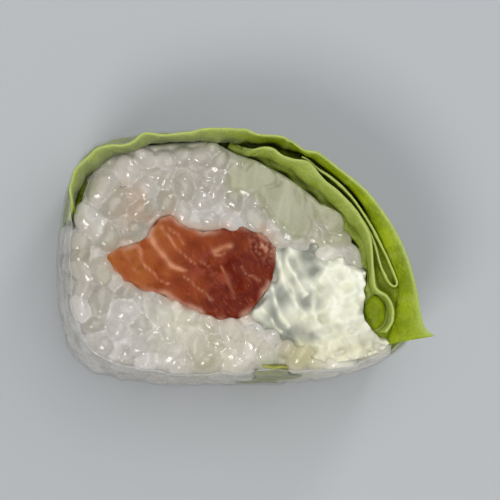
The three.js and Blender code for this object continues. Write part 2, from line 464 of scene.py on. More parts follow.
def wrapper_finish():
    """Wet rice paper: a clear glossy film, milky where it is loose and in a few patches."""
    made = Finish(
        "rice_paper", Roughness=0.25, IOR=1.4, Specular_IOR_Level=0.2,
        Base_Color=(232, 230, 222),
    )
    haze = made.range(made.noise(4.0, 4.0), 0.35, 0.75, 0.02, 0.12)
    fine = made.range(made.noise(0.8, 3.0), 0.4, 0.7, 0.0, 0.04)
    haze = made.maths("ADD", haze, fine)
    haze = made.maths("ADD", haze, made.maths("MULTIPLY", "loose", 0.08))
    haze = made.maths("MAXIMUM", haze, "rim")
    made.bump(made.noise(0.9, 3.0), 0.03)
    bump = made.shader.inputs["Normal"].links[0].from_socket
    clear = made.node("BsdfTransparent")
    gloss = made.node("BsdfAnisotropic", {"Roughness": 0.12, "Normal": bump})
    milky = made.node("MixShader", {0: haze, 1: clear, 2: made.shader.outputs[0]})
    facing = made.node("LayerWeight", {"Blend": 0.5, "Normal": bump}, output="Facing")
    edge = made.range(made.maths("POWER", facing, 5.0), 0.0, 1.0, 0.05, 0.14)
    both = made.node("MixShader", {0: edge, 1: milky, 2: gloss})
    made.feed(made.tree.nodes["Material Output"].inputs["Surface"], both)
    return made.material


# ---- meshes


def added(name, data):
    """A new object in the scene."""
    made = bpy.data.objects.new(name, data)
    bpy.context.scene.collection.objects.link(made)
    return made


def piece(name, points, faces, material, slot, replaced=(), **attributes):
    """A closed mesh of the object, from points in millimetres, on the part's one body. Gives the
    points and faces back."""
    mesh = bpy.data.meshes.new(name)
    mesh.from_pydata((np.asarray(points) * MM).tolist(), [], np.asarray(faces).tolist())
    mesh.shade_smooth()
    for key, values in attributes.items():
        made = mesh.attributes.new(key, "FLOAT", "POINT")
        made.data.foreach_set("value", np.asarray(values, np.float32))
    mesh.materials.append(material)
    made = added(name, mesh)
    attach(made, "root")
    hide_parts(*replaced)
    return points, faces


def shell(grid, thickness, ring=False):
    """A closed mesh round a grid of points (rows up, columns along), and its faces."""
    rows, count = grid.shape[:2]
    wide = np.concatenate([grid[:, -1:], grid, grid[:, :1]], axis=1) if ring else grid
    along = np.gradient(wide, axis=1)
    along = along[:, 1:-1] if ring else along
    side = unit(np.cross(along, np.gradient(grid, axis=0))) * np.asarray(thickness)[..., None] / 2
    points = np.concatenate([(grid + side).reshape(-1, 3), (grid - side).reshape(-1, 3)])
    index = np.arange(rows * count).reshape(rows, count)
    if ring:
        index = np.hstack([index, index[:, :1]])
    front = [index[:-1, :-1], index[:-1, 1:], index[1:, 1:], index[1:, :-1]]
    front = np.stack(front, axis=-1).reshape(-1, 4)
    rims = [index[0][::-1], index[-1]]
    if not ring:
        rims += [index[:, 0], index[::-1, -1]]
    other = rows * count
    faces = [front, front[:, ::-1] + other]
    for line in rims:
        a, b = line[:-1], line[1:]
        faces.append(np.stack([a, b, b + other, a + other], axis=1))
    return points, np.concatenate(faces)


def loft(rows, count, rise):
    """A grid on a smooth surface through rows, each a path in plan and a height."""
    lines = [np.column_stack([through(path, count), np.full(count, z)]) for path, z in rows]
    grid = through(np.array(lines).reshape(len(rows), -1), rise).reshape(rise, count, 3)
    grid[..., :2] *= swell(grid[..., 2:])
    return grid


def filled(outline, spacing):
    """Triangles that fill an outline, with points at this spacing inside: points and faces."""
    chart = distance_map([outline])
    low, high = outline.min(0), outline.max(0)
    x, y = np.meshgrid(
        np.arange(low[0], high[0], spacing), np.arange(low[1], high[1], spacing * 0.87)
    )
    x[1::2] += spacing / 2
    inner = np.stack([x.ravel(), y.ravel()], axis=1)
    inner = inner[sample(chart, inner) > spacing * 0.55]
    count = len(outline)
    edges = [(i, (i + 1) % count) for i in range(count)]
    made = delaunay_2d_cdt([Vector(p) for p in np.vstack([outline, inner])], edges, [], 1, 1e-5)
    points = np.array([tuple(p) for p in made[0]])
    return points, np.array(made[2]), np.maximum(sample(chart, points), 0)


def column(outline, spacing, top, low=0.0, levels=8):
    """An upright column of this section whose upper face follows top(points, distance from edge)."""
    flat, faces, edge = filled(outline, spacing)
    count, rim = len(flat), len(outline)
    heights = top(flat, edge)
    upper = np.column_stack([flat, heights])
    walls = [
        np.column_stack([flat[:rim], low + (heights[:rim] - low) * share])
        for share in np.linspace(1, 0, levels + 1)[1:-1]
    ]
    points = np.vstack([upper, *walls, np.column_stack([flat, np.full(count, low)])])
    points[:, :2] *= swell(points[:, 2:])
    points[:, :2] += drift(points)
    starts = [0, *(count + rim * k for k in range(levels - 1)), count + rim * (levels - 1)]
    every = [faces, faces[:, ::-1] + starts[-1]]
    a = np.arange(rim)
    b = (a + 1) % rim
    for above, below in zip(starts, starts[1:]):
        every.append(np.stack([a + above, a + below, b + below], axis=1))
        every.append(np.stack([a + above, b + below, b + above], axis=1))
    return points, np.vstack(every)


def fused(points, faces, detail):
    """One mesh's overlapping closed parts made into one skin, with points this far apart."""
    mesh = bpy.data.meshes.new("parts")
    mesh.from_pydata(points, [], faces)
    parts = added("parts", mesh)
    remesh = parts.modifiers.new("remesh", "REMESH")
    remesh.mode = "VOXEL"
    remesh.voxel_size = detail
    made = parts.evaluated_get(bpy.context.evaluated_depsgraph_get()).to_mesh()
    skin_points = np.zeros(len(made.vertices) * 3)
    made.vertices.foreach_get("co", skin_points)
    skin_faces = np.zeros(len(made.loops), int)
    made.loops.foreach_get("vertex_index", skin_faces)
    bpy.data.objects.remove(parts)
    bpy.data.meshes.remove(mesh)
    return skin_points.reshape(-1, 3), skin_faces.reshape(-1, 4)


# ---- lettuce

# Paths in plan, from the left end over the top to the right end. A leaf stands on its foot, comes
# out of the cut face at its fold, and leans out to its free edge.
OUTER_FOLD = [
    (-29.3, 4.9), (-28.7, 8.2), (-27.6, 10.8), (-24.9, 13.7), (-21.4, 15.8),
    (-17.0, 17.3), (-12.4, 18.1), (-8.0, 18.2), (-3.0, 18.0), (2.0, 18.2), (6.3, 17.3),
    (10.5, 15.6), (13.4, 13.6), (16.3, 11.3), (18.9, 8.2), (21.0, 4.2), (22.5, 0.8), (24.0, -2.8),
    (24.8, -5.7), (24.7, -8.8), (23.8, -12.0), (22.8, -15.3),
]
OUTER_EDGE = [
    (-29.9, 4.7), (-29.7, 8.6), (-28.9, 12.4), (-26.4, 15.3), (-21.5, 17.5),
    (-16.8, 18.6), (-11.9, 19.4), (-7.4, 19.8), (-2.9, 19.8), (2.0, 19.3), (6.1, 18.1),
    (10.2, 16.2), (13.7, 14.3), (17.4, 11.5), (20.4, 8.6), (23.0, 5.1), (24.7, 2.1), (26.4, -2.0),
    (27.5, -6.1), (28.2, -10.4), (29.0, -12.8), (30.5, -13.9),
]
INNER_FOOT = [
    (-2.0, 16.9), (2.4, 16.4), (7.0, 14.7), (11.4, 11.4), (15.6, 7.3), (18.6, 3.4), (20.5, -0.8),
    (21.2, -4.4), (22.4, -7.4), (23.1, -10.0), (22.3, -12.6), (20.9, -13.4),
]
INNER_FOLD = [
    (-3.0, 16.4), (2.2, 15.8), (6.5, 14.1), (8.7, 12.2), (12.0, 10.1), (14.8, 7.2), (16.9, 5.1),
    (18.5, 3.0), (19.5, 0.3), (19.9, -2.9), (20.3, -5.9), (21.5, -7.0), (22.7, -8.3),
    (23.1, -10.2), (22.7, -12.0), (21.4, -13.2),
]
INNER_EDGE = [
    (-2.4, 17.2), (2.4, 17.0), (7.5, 15.2), (9.9, 14.2), (12.5, 11.7), (15.3, 9.2), (17.7, 6.6),
    (19.4, 3.7), (20.1, 1.4), (20.2, -1.2), (20.5, -4.5), (21.0, -6.3), (22.6, -7.4),
    (23.6, -9.2), (23.6, -11.4), (22.4, -13.3),
]
HAIRPIN = [
    (8.6, 15.6), (12.8, 12.8), (15.7, 10.4), (18.2, 7.4), (20.6, 3.6), (22.2, 0.4), (23.7, -2.9),
    (24.5, -5.0), (24.1, -5.7), (23.1, -5.1), (21.9, -2.6), (21.1, 0.2), (20.0, 3.0), (18.4, 5.7),
    (16.6, 8.2),
]
SCRAP_FOLD = [(7.4, -18.6), (5.8, -18.8), (4.0, -18.9), (2.2, -18.7)]
SCRAP_EDGE = [(7.2, -19.0), (5.8, -19.3), (4.0, -19.5), (2.0, -19.3)]
RIB_CENTRE, RIB_SIZE = (20.9, -9.9), (1.75, 2.75)
LEFT_END = (-24.0, 4.5)  # the outer leaf ends at this y, left of this x


def veins(along, up, seed):
    """How strongly each place on a leaf lies on a vein, from 0 to 1: main veins that run up the
    leaf, and side veins that branch off them."""
    draw = np.random.default_rng(seed)
    found = np.zeros(np.broadcast(along, up).shape)
    start = along.min() - 20
    while start < along.max() + 20:
        tilt = draw.uniform(0.2, 0.5)
        centre = start + tilt * up + 1.1 * np.sin(up / 7 + draw.uniform(0, 6))
        off = (along - centre) / math.hypot(1, tilt)
        found = np.maximum(found, np.exp(-((off / 0.5) ** 2)))
        rise = up - 0.75 * np.abs(off) + 0.5 * np.sin(along / 2.5 + draw.uniform(0, 6))
        side = 0.6 * step(9, 5, np.abs(off))
        branch = -8.0
        while branch < 32:
            found = np.maximum(found, side * np.exp(-(((rise - branch) / 0.25) ** 2)))
            branch += 5.0 * draw.uniform(0.7, 1.3)
        start += 14 * draw.uniform(0.8, 1.2)
    return found


def leaf(name, rows, material, seed, replaced=(), ruffle=0.35, sink=(0, 1, 0), dark=1):
    """A thin leaf through rows of (path, height): veined, puffed between its veins, ruffled at
    its free upper edge, and lower along part of it: from here, to here, by this much."""
    reach = np.linalg.norm(np.diff(np.array(rows[-1][0]), axis=0), axis=1).sum()
    count = int(reach / 0.5)  # a point about every half millimetre, along and up
    grid = loft(rows, count, int(rows[-1][1] / 0.55))
    grid[..., :2] += drift(grid)
    along = np.linspace(0, reach, count)[None, :]
    up = grid[..., 2]
    vein = veins(along, up, seed)
    flat = np.stack([np.broadcast_to(along, up.shape), up], axis=-1)
    normal = unit(np.cross(np.gradient(grid, axis=1), np.gradient(grid, axis=0)))
    free = step(HEIGHT - 2.0, rows[-1][1], up)
    puff = 0.1 * field(flat, 1.6, seed) * (1 - vein) + 0.14 * vein
    calm = 1 - 0.85 * step(8, 16, grid[..., 0])
    wave = ruffle * calm * free * field(flat * (1, 0.4), 3.6, seed + 1)
    grid = grid + normal * (puff * calm + wave)[..., None]
    grid[..., 2] += free * (0.3 * calm * field(along[..., None], 4.0, seed + 2) - 0.1)
    grid[..., 2] *= 1 - sink[2] * step(sink[0], sink[1], along) / HEIGHT
    grid[..., 2] = np.maximum(grid[..., 2], 0)
    thick = LEAF * (1 + 0.5 * vein)
    thick[-1] *= 0.6
    thick[:, [0, -1]] *= 0.6
    points, faces = shell(grid, thick)
    rim = np.zeros_like(up)
    rim[-1] = 1
    rim[-2] = 0.2
    # painted shade: darker lower down and nearer the fold, in a patch at the top, and weaker on the
    # shell's second face; dark=0 leaves it out
    deep = (0.5 + 0.3 * calm) * step(HEIGHT - 0.4 + 1.4 * calm, HEIGHT - 3 + 2.2 * calm, up)
    shade = np.exp(-(((grid[..., 0] - 5) / 6) ** 2)) * (grid[..., 1] > 0)
    deep = np.maximum(deep, 0.5 * shade)
    deep = deep * (1 + 0.2 * field(flat, 3.0, seed + 3)) * dark
    pale = 0.36 * step(4, -10, grid[..., 0]) * (grid[..., 1] > 0) * step(21, 26, up)
    looks = [vein * (1 - 0.8 * free), rim, pale, np.clip(deep, 0, 1)]
    vein, rim, pale, deep = (np.tile(values.ravel(), 2) for values in looks)
    return piece(
        name, points, faces, material, "lettuce", replaced,
        vein=vein, rim=rim, pale=pale, deep=deep * np.repeat([1, 0.3], up.size),
    )


def under_wrapper(skin, start, end):
    """The line that a leaf under the wrapper stands on, clockwise from one place to another."""
    foot = inset(skin, LEAF_PLACE)[::-1]
    first, last = (np.argmin(np.linalg.norm(foot - place, axis=1)) for place in (start, end))
    return np.roll(foot, -first, axis=0)[: (last - first) % len(foot) + 1]


def filler(name, outline, material, spacing, top, shade):
    """What fills a leaf's fold: a plain column, a little short of the lower cut face, darkened by
    painted shade.
    """
    points, faces = column(outline, spacing, top, 0.3)
    none = np.zeros(len(points))
    looks = {"vein": none, "rim": none, "deep": shade(points)}
    return piece(name, points, faces, material, "lettuce", **looks)


def add_lettuce(skin):
    """The outer turn with its broad end, the fold behind it, the inner turn, its rib and a scrap."""
    foot = [
        (under_wrapper(skin, (-29, left), right), height) for left, right, height in (
            (5.6, (24.9, -15.8), 0), (4.2, (23.2, -17.4), 8), (5.9, (24.6, -16.2), 15),
            (4.4, (23.6, -17.2), 22),
        )
    ]
    torn = [
        (under_wrapper(skin, (right, -20), (left, -20)), height)
        for left, right, height in ((0.8, 8.6, 0), (1.4, 8.0, 9), (0.9, 8.5, 17), (1.3, 7.6, 23))
    ]
    green = leaf_finish("lettuce", (119, 136, 6), (160, 176, 26))
    pale = leaf_finish("lettuce_inner", (132, 148, 46), (160, 174, 80))
    olive = leaf_finish("lettuce_scrap", (128, 132, 46), (164, 162, 90), (160, 158, 88))
    contents = [
        leaf("lettuce_outer_leaf",
             [*foot, (OUTER_FOLD, 26.9), (OUTER_EDGE, 29.3)],
             green, 11, ["lettuce_outer"], sink=(5, 0, 3)),
        leaf("lettuce_hairpin_fold",
             [(HAIRPIN, height) for height in (0, 14, 28.2)], green, 21, ruffle=0.12),
        leaf("lettuce_inner_leaf",
             [*((INNER_FOOT, height) for height in (0, 12, 23)), (INNER_FOLD, 27.0),
              (INNER_EDGE, 28.9)],
             pale, 31, ["lettuce_inner"], ruffle=0.25, sink=(6, 0, 3), dark=0),
        leaf("lettuce_scrap_leaf", [*torn, (SCRAP_FOLD, 26.4), (SCRAP_EDGE, 27.6)],
             olive, 41, ["lettuce_scrap"], ruffle=0.2, sink=(2.4, 0.6, 1.6)),
    ]
    contents.append(filler(
        "lettuce_rib", RIB_CENTRE + RIB_SIZE * around(40), green, 0.35,
        lambda flat, edge: HEIGHT - 0.9 + 1.2 * np.sqrt(np.minimum(edge / 1.7, 1)),
        # painted shade, even over the rib
        lambda points: np.full(len(points), 0.15),
    ))
    outer, inner = outline_of("lettuce_outer"), outline_of("lettuce_inner")
    outer = outer[(outer[:, 0] > LEFT_END[0]) | (outer[:, 1] > LEFT_END[1])]
    outer = outer * (1 - 0.025 * step(5, 9, outer[:, 1]))[:, None]
    between = np.vstack([through(INNER_FOOT, 90)[12:], through(OUTER_FOLD, 120)[60:][::-1]])
    # painted shade in the cores: darker towards the back and away from the far left end, each core by
    # its own amount
    for name, outline, low, sunk, dark, finish in (
        ("outer", outer, 1.0, 3.0, 0.5, green), ("inner", inner, 1.3, 0.8, 0.2, pale),
        ("middle", between, 1.15, 1.8, 0.4, green),
    ):
        contents.append(filler(
            f"lettuce_{name}_core", evenly(outline, 260, closed=True), finish, 0.8,
            lambda flat, edge: (
                HEIGHT - low - sunk * step(5, 9, flat[:, 1]) + 0.3 * field(flat, 2.2, 45)
            ),
            lambda points: dark * (
                0.2 + 0.6 * step(-25, -20, points[:, 0]) + step(5, 10, points[:, 1])
            ),
        ))
    return contents


# ---- salmon and cream cheese

# Lines of fat in plan, each with its width where it starts and where it ends, and its strength
FAT_LINES = [
    ([(-16.9, 4.1), (-16.3, 2.2), (-15.4, 0.2), (-14.1, -1.6), (-12.6, -2.9), (-10.4, -3.6)],
     0.6, 0.2, 1.0),
    ([(-18.9, 1.0), (-18.1, -0.4), (-17.4, -2.0), (-16.2, -3.7), (-13.2, -6.0)], 0.3, 0.12, 0.8),
    ([(-14.4, 3.4), (-13.4, 2.0), (-12.3, 0.7), (-10.6, -1.2), (-9.0, -2.4)], 0.3, 0.12, 0.7),
    ([(-13.0, 3.6), (-11.9, 2.4), (-10.6, 0.8)], 0.2, 0.1, 0.6),
    ([(-5.9, -0.1), (-4.8, 0.35), (-3.4, 0.6)], 0.35, 0.45, 0.85),
    ([(-5.8, -0.6), (-4.6, -0.8), (-3.9, -0.4)], 0.15, 0.15, 0.5),
    ([(-4.9, -2.6), (-3.8, -4.3), (-3.1, -6.0), (-2.6, -7.8)], 0.14, 0.22, 0.35),
    ([(-8.4, -1.9), (-7.0, -2.6), (-5.6, -2.2)], 0.15, 0.1, 0.5),
    ([(-1.4, -2.6), (-0.4, -3.5), (1.4, -5.2)], 0.1, 0.2, 0.5),
    ([(1.6, 2.4), (2.2, 0.8), (2.9, -0.9)], 0.25, 0.15, 0.6),
    ([(-10.4, -4.6), (-8.6, -6.0), (-6.4, -8.2)], 0.12, 0.2, 0.5),
    ([(-20.6, -0.6), (-19.9, -2.2), (-18.4, -4.0)], 0.14, 0.1, 0.4),
]
# Where the salmon's outline lies further in than the solid's, or out: its place, size and how far
TRIM = [
    ((-22.5, 0.5), 0.9, -0.8), ((-21.8, -3.6), 1.5, -0.5), ((-15.6, 4.6), 1.0, 0.65),
    ((2.9, 2.6), 1.0, 0.7), ((-7.6, 3.0), 1.2, 0.4), ((-3.0, 3.6), 1.6, -0.4),
]
SALMON_POINTS, CHEESE_POINTS = 212, 253  # round their outlines
BRUISE = (-6.5, -3.6)  # the middle of a purplish patch
LIGHTER = (-3.0, 2.3)  # the middle of a lighter patch
SPILL = (2.8, 1.0)  # the middle of a patch with crumbs of cream cheese dragged over it


def on_lines(points, lines, seed):
    """How strongly each plan point lies on one of these lines, from 0 to 1, a little broken up."""
    warp = np.stack([field(points, 2.0, seed), field(points, 2.0, seed + 1)], axis=1)
    broken = 0.75 + 0.25 * field(points, 1.2, seed + 2)
    found = np.zeros(len(points))
    for line, start, end, strength in lines:
        path = through(line, 60)
        apart = np.linalg.norm(points[:, None] + 0.16 * warp[:, None] - path[None], axis=2)
        nearest = apart.argmin(1)
        width = start + (end - start) * nearest / len(path)
        found = np.maximum(found, strength * np.exp(-((apart.min(1) / width) ** 2)))
    return np.clip(found * broken, 0, 1)


def rounded(edge, radius):
    """How far a rounded rim lies below the face, by the distance from the edge."""
    return radius * (1 - np.sqrt(1 - (1 - np.minimum(edge / radius, 1)) ** 2))


def add_salmon(outline):
    """A stick of salmon, cut across its fibres, a little below the rice at its ragged edge."""
    def top(flat, edge):
        wave = 0.16 * field(flat, 6.0, 53) + 0.04 * field(flat, 1.6, 54)
        return HEIGHT - 0.4 + wave - 0.12 * on_lines(flat, FAT_LINES, 51) - rounded(edge, 0.35)

    outline = evenly(outline, SALMON_POINTS, closed=True)
    trim = near_places(TRIM, outline) - 0.15 + 0.12 * field(outline, 1.4, 55)
    outline = inset(outline, trim)
    points, faces = column(outline, 0.42, top)
    flat = points[:, :2]
    fat = on_lines(flat, FAT_LINES, 51)
    depth = step(-25, 5, flat[:, 0] - 0.3 * flat[:, 1] + 1.4 * field(flat, 3.0, 56))
    depth = np.clip(depth + 0.06 * field(flat, 1.6, 59) - 0.15 * near_to(LIGHTER, 2.2, flat), 0, 1)
    bruise = 0.1 + 0.9 * near_to(BRUISE, 2.0, flat)
    edge = sample(distance_map([outline]), flat / swell(points[:, 2:]))
    film = step(1.1, 0.0, edge) * np.clip(0.5 + 0.4 * field(flat, 2.0, 57), 0, 0.9)
    spill = near_to(SPILL, 1.5, flat)
    film = np.maximum(film, spill * np.clip(field(flat, 0.55, 58) - 0.2, 0, 0.8))
    piece(
        "salmon_stick", points, faces, salmon_finish(), "salmon", ["salmon"],
        fat=fat, depth=depth, bruise=bruise, film=film,
    )


# Ridges that the knife dragged up in the cream cheese, given as the lines of fat are
STREAKS = [
    ([(4.4, 1.3), (4.7, -1.7), (5.9, -5.1), (7.2, -7.8), (8.8, -10.5), (11.1, -12.4)], 0.5, 0.45, 1),
    ([(5.0, -3.6), (6.3, -6.9), (8.0, -10.1), (9.2, -12.0)], 0.2, 0.3, 0.7),
    ([(6.4, 0.6), (6.8, -2.4), (8.0, -4.6), (9.4, -7.4)], 0.5, 0.35, 0.9),
    ([(3.4, -6.4), (4.6, -9.4), (6.4, -12.4)], 0.3, 0.4, 0.7),
    ([(2.2, -9.4), (3.4, -11.4), (5.0, -13.4)], 0.3, 0.35, 0.6),
    ([(13.4, -3.2), (11.4, -6.2), (10.4, -9.4), (10.6, -12.4)], 0.8, 0.6, 0.8),
]
CHEESE_MIDDLE = (12.5, -8.0)
SHALLOW = (10.2, -1.8)  # grains show through the cream cheese round this place
SHADED = (18.0, -13.0)  # painted shade greys the cream cheese round this place


def dragged_share(flat):
    """How far the knife dragged the cream cheese into streaks, rather than leaving it in lumps."""
    return step(13, 9, flat[:, 0] + 0.8 * field(flat, 3.0, 65))


def cheese_relief(flat):
    """Cream cheese dragged by the knife into streaks beside the salmon, and lumpy beyond them."""
    share = dragged_share(flat)
    fine = flat @ np.array([[0.9, -0.1], [0.43, 0.16]])
    streak = 0.68 * on_lines(flat, STREAKS, 58) + 0.12 * field(fine, 1.0, 60) - 0.3
    streak += 0.1 * field(flat, 1.4, 59)
    lump = 0.36 * field(flat, 3.0, 61) + 0.28 * field(flat, 1.6, 62) + 0.12 * field(flat, 0.8, 69)
    lump -= 0.8 * np.maximum(field(flat, 2.0, 66) - 0.8, 0)
    return share * streak + (1 - share) * lump + 0.2 * field(flat, 4.5, 63)


def outline_round(chart, centre, count):
    """The outline of the part of a chart above zero, as seen from a point inside it."""
    ray, reach = around(count), np.arange(0, 40, 0.1)
    values = sample(chart, centre + ray[:, None] * reach[:, None])
    radius = softened(reach[(values < 0).argmax(1)], 4)
    return centre + ray * radius[:, None]


def add_cheese(cheese_map, room):
    """Cream cheese: thick in its own place, and pressed in between the grains next to it."""
    def top(flat, edge):
        past = np.maximum(-sample(cheese_map, flat), 0)
        deeper = 0.25 + 0.25 * step(3, -4, flat[:, 1] - 0.5 * (flat[:, 0] - 8))
        deeper = deeper * (1 - 0.7 * step(-12, -15, flat[:, 1]) * step(9, 12, flat[:, 0]))
        paste = deeper * (past + step(0, 0.8, past)) * (1 + 0.4 * field(flat, 1.2, 68))
        return HEIGHT - 0.1 + cheese_relief(flat) - paste - rounded(edge, 0.6)

    outline = evenly(outline_round(room, CHEESE_MIDDLE, 400), CHEESE_POINTS, closed=True)
    points, faces = column(outline, 0.28, top, 0.15, levels=56)
    plan = points[:, :2] / swell(points[:, 2:]) - drift(points)
    dent = np.clip(0.25 + 0.3 * field(points, 2.6, 67) + 0.12 * field(points, 1.1, 68), 0, 0.9)
    dent += 0.8 * step(0, -1.2, sample(cheese_map, plan))
    points[:, :2] += slope(room, plan) * (dent * step(0.6, 0, sample(room, plan)))[:, None]
    flat = points[:, :2]
    # painted shade: greyer just below the top, in the grooves between the dragged ridges and round one
    # place; grey too where the cream cheese lies thin over grains
    low = step(HEIGHT, HEIGHT - 1, points[:, 2]) * step(HEIGHT - 4, HEIGHT - 2, points[:, 2])
    valley = 1 - on_lines(flat, STREAKS, 58)
    uneven = np.clip(0.75 + 0.35 * field(flat, 2.2, 48), 0.2, 1.2)
    hollow = (0.75 * dragged_share(flat) + 0.3 * near_to(SHALLOW, 2.0, flat)) * valley**2 * uneven
    hollow = hollow + 0.25 * near_to(SHADED, 2.5, flat) * uneven
    stain = np.maximum(0.9 * near_to(STAIN, 2.6, flat), 0.35 * step(-11, -16, flat[:, 1]))
    return piece(
        "cream_cheese_fill", points, faces, cheese_finish(), "cream_cheese", ["cream_cheese"],
        hollow=np.clip(0.3 * low + hollow, 0, 1), stain=stain,
    )


# ---- rice

POCKET_MIDDLE = (7.5, -17.6)  # rice behind the scrap of leaf
MOST_EXTRA = 60  # grains laid in afterwards, at most


def balls_in(middle, axis, size):
    """The balls that stand for grains while they are pressed together: middles and radii."""
    reach = (size[:, None] * BALLS[:, 0])[..., None]
    balls = (middle[:, None] + axis[:, None] * reach).reshape(-1, 3)
    return balls, (size[:, None] * BALLS[:, 1]).ravel()


def pack_rice(room):
    """Presses grains together in this room: their middles, axes and sizes."""
    draw = np.random.default_rng(7)
    space = (np.minimum(*room.charts) > 0).sum() * GRID_STEP**2 * HEIGHT
    count = int(space / (math.pi / 6 * GRAIN.prod()))
    middle = draw.uniform((-32, -24, 1.2), (32, 24, HEIGHT - 1.2), size=(count * 12, 3))
    middle = middle[room.depth(middle) > 0.7][:count]
    axis = unit(draw.normal(size=(count, 3)) * (1, 1, 1.6))
    size = np.clip(draw.normal(1, 0.1, count), 0.78, 1.16)
    top = HEIGHT + draw.uniform(-0.5, 0.9, count)
    owner = np.repeat(np.arange(count), len(BALLS))
    for turn in range(PACK_ROUNDS):
        balls, radius = balls_in(middle, axis, size)
        if turn % 10 == 0:
            square = (balls**2).sum(1)
            apart = square[:, None] + square[None] - 2 * balls @ balls.T
            near = apart < (radius[:, None] + radius[None] + 0.8) ** 2
            a, b = np.nonzero(np.triu(near & (owner[:, None] != owner[None])))
        between = balls[a] - balls[b]
        gap = np.linalg.norm(between, axis=1)
        excess = np.maximum(SQUEEZE * (radius[a] + radius[b]) - gap, 0)
        push = between * (0.22 * excess / np.maximum(gap, 1e-3))[:, None]
        shift = np.stack([
            np.bincount(a, push[:, k], len(balls)) - np.bincount(b, push[:, k], len(balls))
            for k in range(3)
        ], axis=1)
        balls += shift
        deficit = np.maximum(radius * 0.9 - room.depth(balls), 0)
        balls[:, :2] += room.inward(balls) * deficit[:, None]
        balls[:, 2] -= np.maximum(balls[:, 2] + radius - np.repeat(top, len(BALLS)), 0)
        balls[:, 2] += np.maximum(radius * 0.9 - balls[:, 2], 0)
        balls = balls.reshape(count, len(BALLS), 3)
        middle = balls.mean(1)
        axis = unit(balls[:, -1] - balls[:, 0])
    return middle, axis, size


def topped_up(middle, axis, size, room):
    """The same grains, with more laid in wherever the upper cut face still has a hole."""
    draw = np.random.default_rng(79)
    x, y = np.meshgrid(GRID_X[::3], GRID_Y[::3])
    places = np.column_stack([x.ravel(), y.ravel(), np.full(x.size, HEIGHT - 2)])
    places = places[room.depth(places) > 1.3]
    balls, radius = balls_in(middle, axis, size)
    upper = balls[:, 2] > HEIGHT - 5
    balls, radius = balls[upper], radius[upper]
    apart = ((places[:, None, :2] - balls[None, :, :2]) ** 2).sum(2)
    over = balls[:, 2] + np.sqrt(np.maximum(radius**2 - apart, 0))
    hole = np.where(apart < radius**2, over, 0).max(1) < HEIGHT - 1.2
    extra = []
    for _ in range(MOST_EXTRA):
        near = np.exp(-((places[:, None, :2] - places[None, hole, :2]) ** 2).sum(2) / 1.6).sum(1)
        best = near.argmax()
        if near[best] < 2.4:
            break
        extra.append(places[best])
        hole &= ((places[:, :2] - places[best, :2]) ** 2).sum(1) > 1.9**2
    count = len(extra)
    extra = np.array(extra).reshape(-1, 3) + draw.uniform(-0.3, 0.3, (count, 3))
    more = unit(draw.normal(size=(count, 3)) * (1, 1, 0.4))
    sizes = draw.uniform(0.8, 1.0, count)
    return np.vstack([middle, extra]), np.vstack([axis, more]), np.concatenate([size, sizes])


def grain_ball():
    """A unit ball's points and triangles."""
    made = bmesh.new()
    bmesh.ops.create_icosphere(made, subdivisions=3, radius=1)
    points = np.array([tuple(v.co) for v in made.verts])
    faces = np.array([[v.index for v in f.verts] for f in made.faces])
    made.free()
    return points, faces


def grain_frames(axis, size):
    """Each grain's three axes and its half sizes along them."""
    draw = np.random.default_rng(80)
    count = len(axis)
    side = unit(np.cross(axis, draw.normal(size=(count, 3))))
    turn = np.stack([axis, side, np.cross(axis, side)], axis=1)
    scale = GRAIN / 2 * size[:, None] * draw.uniform((0.86, 0.94, 0.9), (1.12, 1.06, 1.06), (count, 3))
    return turn, scale


def grains(middle, turn, scale, wall, seed):
    """Uneven grains, pressed flat at the wrapper and at the two cut faces."""
    draw = np.random.default_rng(seed)
    count = len(middle)
    ball, faces = grain_ball()
    shape = np.column_stack([ball[:, 0], ball[:, 1:] * (1 - 0.1 * ball[:, :1])])
    shape[:, 2] += 0.1 * ball[:, 0] ** 2 - 0.05
    dent = np.exp(-((ball - (0.86, 0, 0.45)) ** 2).sum(1) / 0.06)
    shape *= (1 - 0.1 * dent)[:, None]
    local = shape[None] * scale[:, None]
    local *= 1 + 0.035 * field(local + draw.uniform(-99, 99, (count, 1, 3)), 1.5, seed)[..., None]
    spokes = local @ turn
    points = (middle[:, None] + spokes).reshape(-1, 3)

    # painted light: how far each point of a grain faces the nearest exposed face, for its painted
    # greyer top and lighter rim
    aside = np.column_stack([-wall.inward(middle), np.zeros(count)])
    up = np.tile((0.0, 0.0, 1.0), (count, 1))
    deep = np.stack([wall.depth(middle), HEIGHT - middle[:, 2], middle[:, 2]])
    high = np.einsum("gpk,dgk->dgp", spokes, np.stack([aside, up, -up]))
    high /= high.max(2, keepdims=True)
    high = np.where((deep < SHOWN)[..., None], high, 0).max(0)

    points[:, :2] += wall.inward(points) * np.maximum(-wall.depth(points), 0)[:, None]
    smear = smeared(points)
    knife = KNIFE + 0.2 * field(points[:, :2], 8.0, 71) - 0.8 * smear
    over = np.maximum(points[:, 2] - knife, 0)
    over_or_under = np.maximum(over, -points[:, 2])
    points[:, 2] = np.minimum(points[:, 2], knife) + 0.3 * (1 - np.exp(-over / 0.3))
    points[:, 2] = np.maximum(points[:, 2], 0)
    every = (faces[None] + (np.arange(count) * len(ball))[:, None, None]).reshape(-1, 3)
    tint = np.repeat(draw.uniform(0, 1, count), len(ball))
    cut = step(0.0, 0.5, over_or_under) * (1 - 0.6 * step(0.16, 0.0, over_or_under))
    return points, every, np.stack([tint, cut, step(0.3, 0.95, high).ravel()], axis=1)


def joined(parts):
    """Several meshes as lists of one mesh's points and faces."""
    points, faces = [], []
    for part in parts:
        faces.extend((part[1] + len(points)).tolist())
        points.extend(part[0].tolist())
    return points, faces


